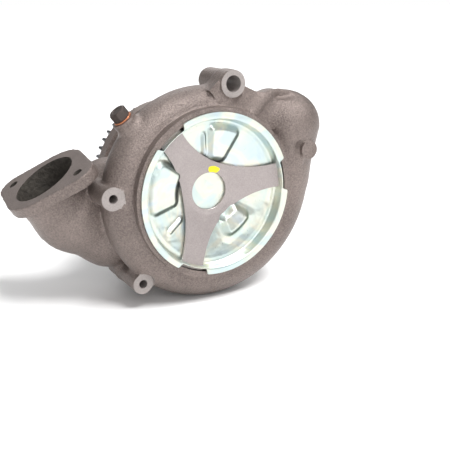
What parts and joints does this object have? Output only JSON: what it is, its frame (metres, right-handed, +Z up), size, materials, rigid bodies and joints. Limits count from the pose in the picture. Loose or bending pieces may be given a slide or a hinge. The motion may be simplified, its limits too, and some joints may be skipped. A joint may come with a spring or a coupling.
{
  "type": "water pump",
  "caption": "Gear-driven coolant pump: cast spiral housing, dished sheet cover held by a three-arm spring star, side inlet elbow with a two-bolt flange, rear outlet port.",
  "frame": {"origin": "on the shaft axis, in the rear mounting face at the foot of the pilot", "axes": "+Y along the shaft towards the drive gear and the engine, -Y is the cover side, +Z up, +X to the outlet side"},
  "size_m": [0.3163, 0.1658, 0.2302],
  "materials": {
    "cast_housing": "sand-cast, matte, warm grey",
    "machined_iron": "turned, satin",
    "impeller_iron": "cast, matte",
    "zinc_plated_sheet": "bright zinc plating, bluish white with a faint rainbow",
    "spring_steel": "blasted spring steel, satin",
    "gear_steel": "dark oiled gear steel",
    "blackened_steel": "blackened, satin",
    "ground_steel": "ground bright",
    "seal_steel": "pressed stainless",
    "bearing_steel": "polished",
    "brass_cage": "stamped brass",
    "copper": "annealed copper, satin",
    "black_rubber": "matte black",
    "carbon": "lapped carbon, dull black",
    "seal_ceramic": "lapped ceramic, cream",
    "yellow_paint": "brush-dabbed yellow inspection paint"
  },
  "bodies": {
    "housing": {"pump_housing": "cast_housing", "vent_plug": "blackened_steel", "plug_washer": "copper", "front_cover": "zinc_plated_sheet", "cover_seal_ring": "black_rubber", "cover_spring_star": "spring_steel", "paint_mark": "yellow_paint", "bearing_carrier": "machined_iron", "carrier_seal_ring": "black_rubber", "carrier_screws": "blackened_steel", "carrier_dowels": "bearing_steel", "pilot_seal_ring": "black_rubber", "oil_seal": "black_rubber", "seal_cup": "seal_steel", "seal_spring": "seal_steel", "seal_carbon_face": "carbon", "front_outer_race": "bearing_steel", "rear_outer_race": "bearing_steel", "bearing_circlip": "blackened_steel"},
    "front_ball_set": {"front_balls": "bearing_steel", "front_ball_cage": "brass_cage"},
    "rear_ball_set": {"rear_balls": "bearing_steel", "rear_ball_cage": "brass_cage"},
    "rotor": {"pump_shaft": "ground_steel", "impeller": "impeller_iron", "seal_seat_ring": "seal_ceramic", "front_inner_race": "bearing_steel", "rear_inner_race": "bearing_steel", "bearing_spacer": "ground_steel", "drive_gear": "gear_steel", "gear_key": "ground_steel", "gear_washer": "ground_steel", "gear_nut": "blackened_steel"}
  },
  "joints": [
    {"name": "shaft_spin", "type": "hinge", "parent": "housing", "child": "rotor", "pos_m": [0, 0, 0], "axis": [0, 1, 0], "continuous": true},
    {"name": "front_ball_spin", "type": "hinge", "parent": "housing", "child": "front_ball_set", "pos_m": [0, 0, 0], "axis": [0, 1, 0], "continuous": true},
    {"name": "rear_ball_spin", "type": "hinge", "parent": "housing", "child": "rear_ball_set", "pos_m": [0, 0, 0], "axis": [0, 1, 0], "continuous": true}
  ],
  "couplings": [
    {"joint": "front_ball_spin", "follows": "shaft_spin", "ratio": 0.3987},
    {"joint": "rear_ball_spin", "follows": "shaft_spin", "ratio": 0.3987}
  ]
}
